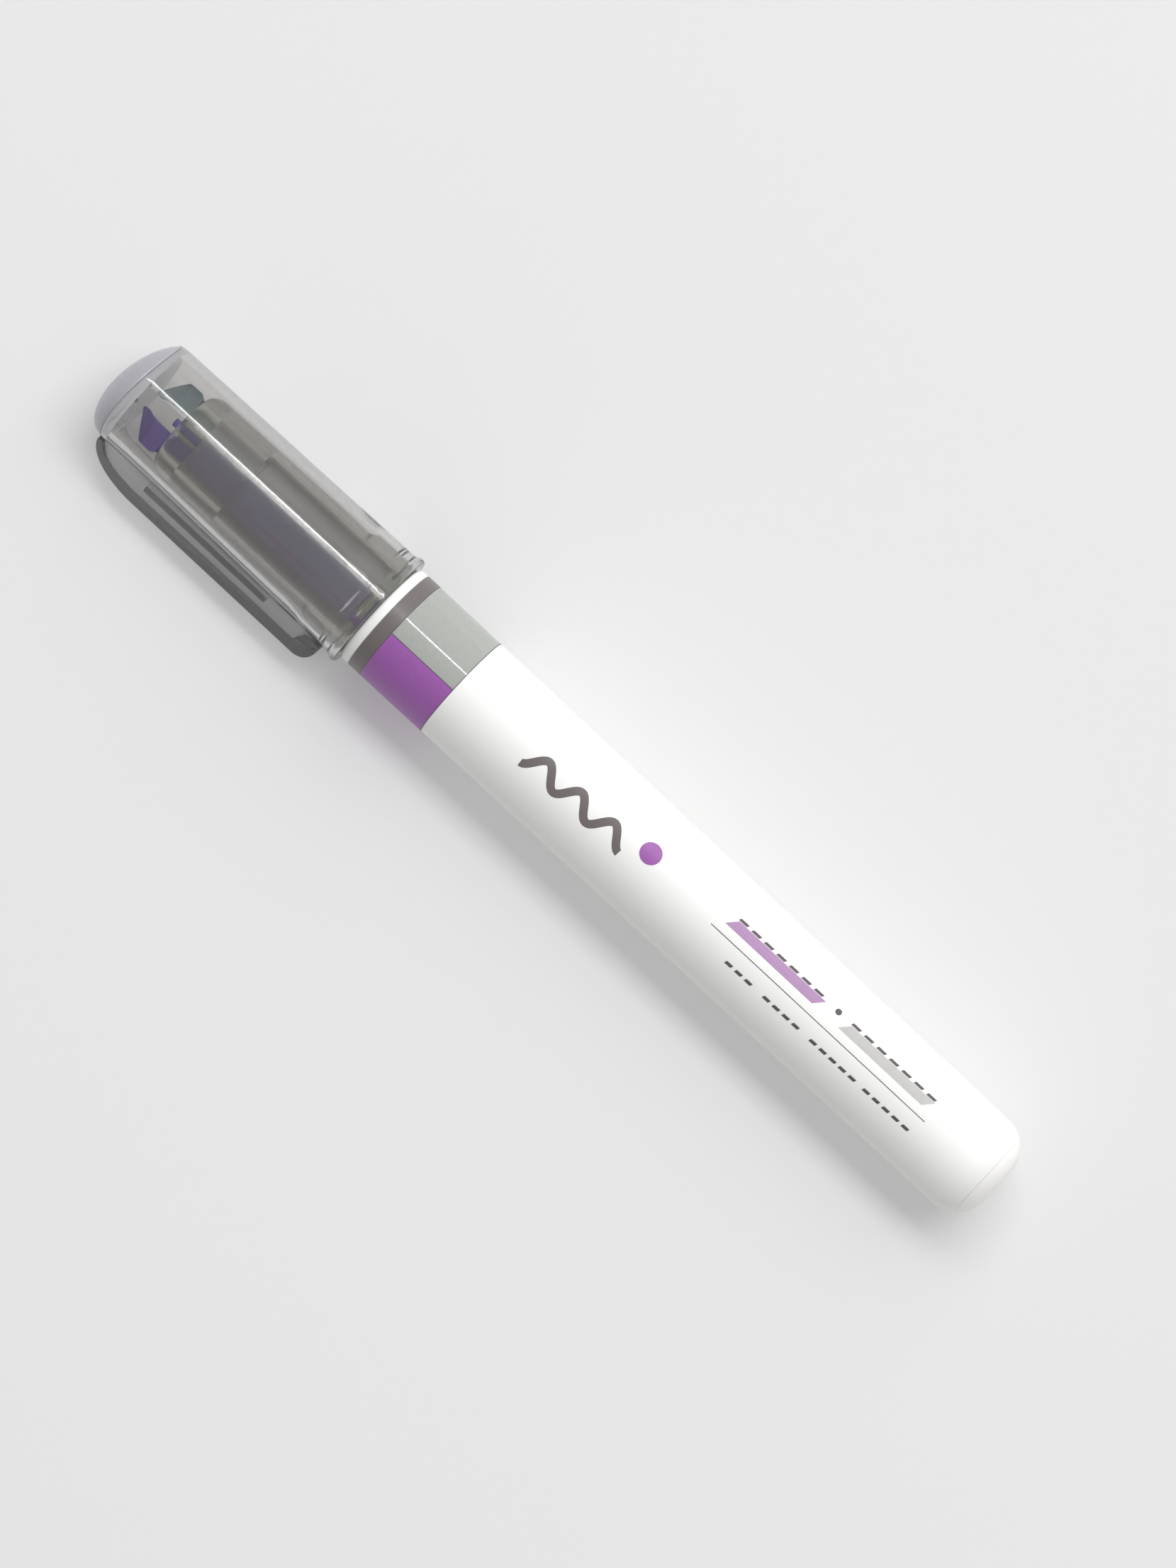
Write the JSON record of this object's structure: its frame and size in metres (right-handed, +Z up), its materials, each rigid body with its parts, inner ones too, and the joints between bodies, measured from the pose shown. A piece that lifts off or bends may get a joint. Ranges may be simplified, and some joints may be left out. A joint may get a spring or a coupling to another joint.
{
  "type": "felt tip marker",
  "caption": "Capped felt marker with side-by-side violet and grey chisel nibs, smoke see-through cap with a sprung pocket clip, and a tapered white barrel.",
  "frame": {"origin": "middle of the marker's box in plan, on the plane that it lies on", "axes": "+X along the pen from the tail to the crown of the cap, +Y towards the side that the pocket clip is on, +Z up from the plane it lies on"},
  "size_m": [0.137, 0.0182, 0.0155],
  "materials": {
    "smoke_plastic": "clear smoke-grey polypropylene, glossy",
    "lilac_smoke_plastic": "thick smoke-lilac polypropylene, glossy",
    "holder_plastic": "smoke-grey moulding, satin",
    "white_plastic": "white polypropylene, satin",
    "violet_felt": "pressed felt soaked with violet ink",
    "grey_felt": "pressed felt soaked with grey ink",
    "violet_fibre": "bundled fibre soaked with violet ink",
    "grey_fibre": "bundled fibre soaked with grey ink",
    "clear_film": "clear wrap"
  },
  "bodies": {
    "pen_body": {"barrel": "white_plastic", "tail_plug": "white_plastic", "collar_ring": "white_plastic", "front_section": "smoke_plastic", "nib_holder": "holder_plastic", "violet_nib": "violet_felt", "grey_nib": "grey_felt", "violet_feed": "violet_fibre", "grey_feed": "grey_fibre", "violet_reservoir": "violet_fibre", "grey_reservoir": "grey_fibre", "violet_reservoir_film": "clear_film", "grey_reservoir_film": "clear_film", "reservoir_divider": "white_plastic"},
    "cap": {"cap_shell": "smoke_plastic", "cap_crown": "lilac_smoke_plastic"},
    "pocket_clip": {"clip": "smoke_plastic"}
  },
  "joints": [
    {"name": "cap_pull", "type": "slide", "parent": "pen_body", "child": "cap", "axis": [1, 0, 0], "range_m": [0, 0.05]},
    {"name": "clip_flex", "type": "hinge", "parent": "cap", "child": "pocket_clip", "pos_m": [0.06515, 0.00358, 0.00471], "axis": [0, -0.529, -0.8486], "range_deg": [0, 5], "stiffness_Nm_per_rad": 1}
  ]
}
